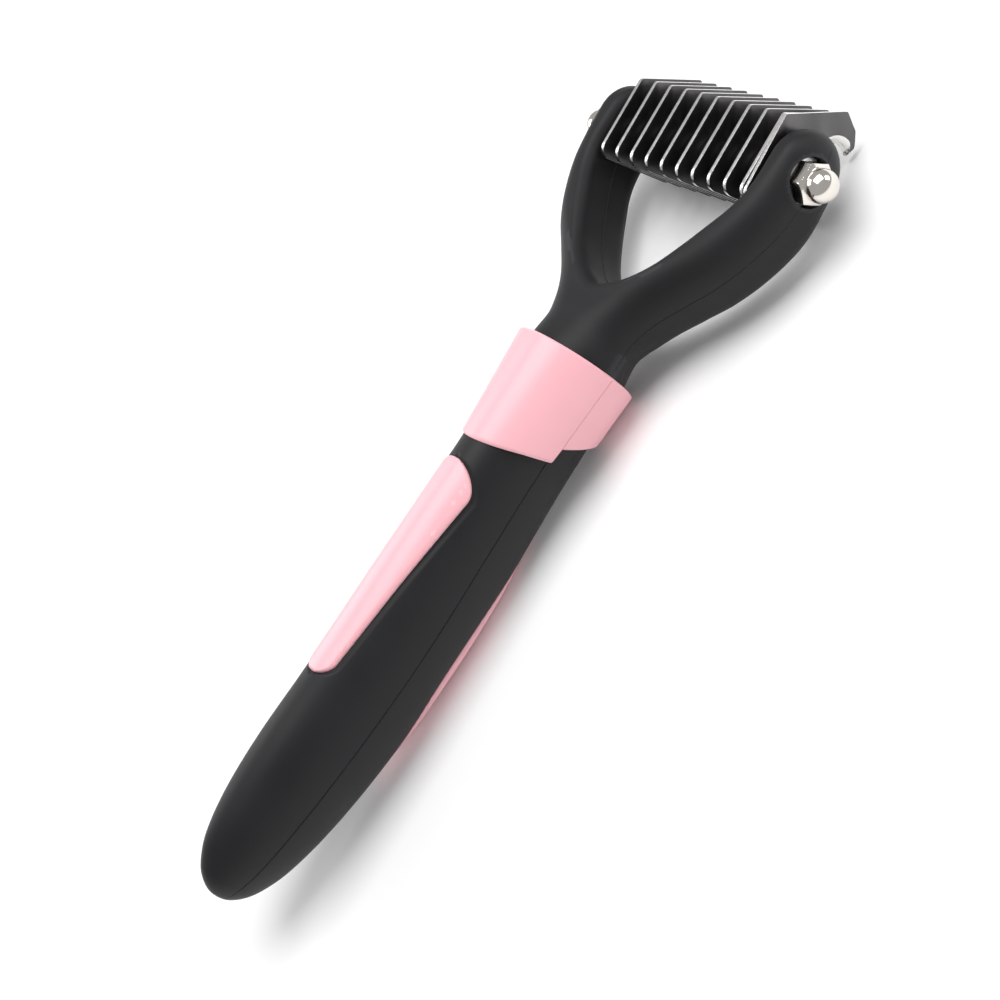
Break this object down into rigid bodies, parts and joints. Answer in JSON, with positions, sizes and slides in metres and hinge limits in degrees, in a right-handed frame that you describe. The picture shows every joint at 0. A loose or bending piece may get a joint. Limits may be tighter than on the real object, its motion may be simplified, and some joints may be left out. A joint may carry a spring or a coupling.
{
  "type": "dog undercoat rake",
  "caption": "Dog undercoat rake with hooked steel blades on a cross axle in a black Y-fork, and a two-colour grip.",
  "frame": {"origin": "under the middle of the tool's box, on the surface it lies on with its hooks down", "axes": "+Y along the handle towards the blades, +Z out of the thumb side, +X to the right arm of the fork; the hooks point to -Z"},
  "size_m": [0.077, 0.1978, 0.0314],
  "materials": {
    "fork_rubber": "soft matte",
    "grip_rubber": "soft matte",
    "pink_plastic": "satin gloss",
    "blade_steel": "fine brushed, bright edges",
    "bright_steel": "bright turned",
    "dark_steel": "blackened",
    "nickel_plate": "polished nickel",
    "bush_brass": "turned",
    "screw_steel": "zinc plated"
  },
  "bodies": {
    "handle": {"fork": "fork_rubber", "axle_stud": "bright_steel", "arm_bush_right": "bush_brass", "arm_bush_left": "bush_brass", "handle_shell_front": "pink_plastic", "handle_shell_back": "pink_plastic", "grip_front": "grip_rubber", "grip_back": "grip_rubber", "thumb_pad": "pink_plastic", "back_strip": "pink_plastic", "shell_screws": "screw_steel", "tang_pin": "screw_steel"},
    "blade_pack": {"blade_01": "blade_steel", "blade_02": "blade_steel", "blade_03": "blade_steel", "blade_04": "blade_steel", "blade_05": "blade_steel", "blade_06": "blade_steel", "blade_07": "blade_steel", "blade_08": "blade_steel", "blade_09": "blade_steel", "blade_10": "blade_steel", "blade_11": "blade_steel", "spacer_01": "dark_steel", "spacer_02": "dark_steel", "spacer_03": "dark_steel", "spacer_04": "dark_steel", "spacer_05": "dark_steel", "spacer_06": "dark_steel", "spacer_07": "dark_steel", "spacer_08": "dark_steel", "spacer_09": "dark_steel", "shim_washer": "bright_steel", "end_spacer_left": "dark_steel", "end_spacer_right": "dark_steel"},
    "right_washer": {"washer_right": "bright_steel"},
    "right_nut": {"cap_nut_right": "nickel_plate"},
    "left_washer": {"washer_left": "bright_steel"},
    "left_nut": {"cap_nut_left": "nickel_plate"}
  },
  "joints": [
    {"name": "blade_pack_tilt", "type": "hinge", "parent": "handle", "child": "blade_pack", "pos_m": [0, 0.08035, 0.01457], "axis": [1, 0, 0], "range_deg": [-30, 60]},
    {"name": "right_nut_travel", "type": "slide", "parent": "handle", "child": "right_washer", "axis": [1, 0, 0], "range_m": [0, 0.0024]},
    {"name": "right_nut_turn", "type": "hinge", "parent": "right_washer", "child": "right_nut", "pos_m": [0.0305, 0.08035, 0.01457], "axis": [1, 0, 0], "range_deg": [0, 1080]},
    {"name": "left_nut_travel", "type": "slide", "parent": "handle", "child": "left_washer", "axis": [-1, 0, 0], "range_m": [0, 0.0024]},
    {"name": "left_nut_turn", "type": "hinge", "parent": "left_washer", "child": "left_nut", "pos_m": [-0.0305, 0.08035, 0.01457], "axis": [-1, 0, 0], "range_deg": [0, 1080]}
  ],
  "couplings": [
    {"joint": "right_nut_turn", "follows": "right_nut_travel", "rad_per_m": 7854},
    {"joint": "left_nut_turn", "follows": "left_nut_travel", "rad_per_m": 7854}
  ]
}
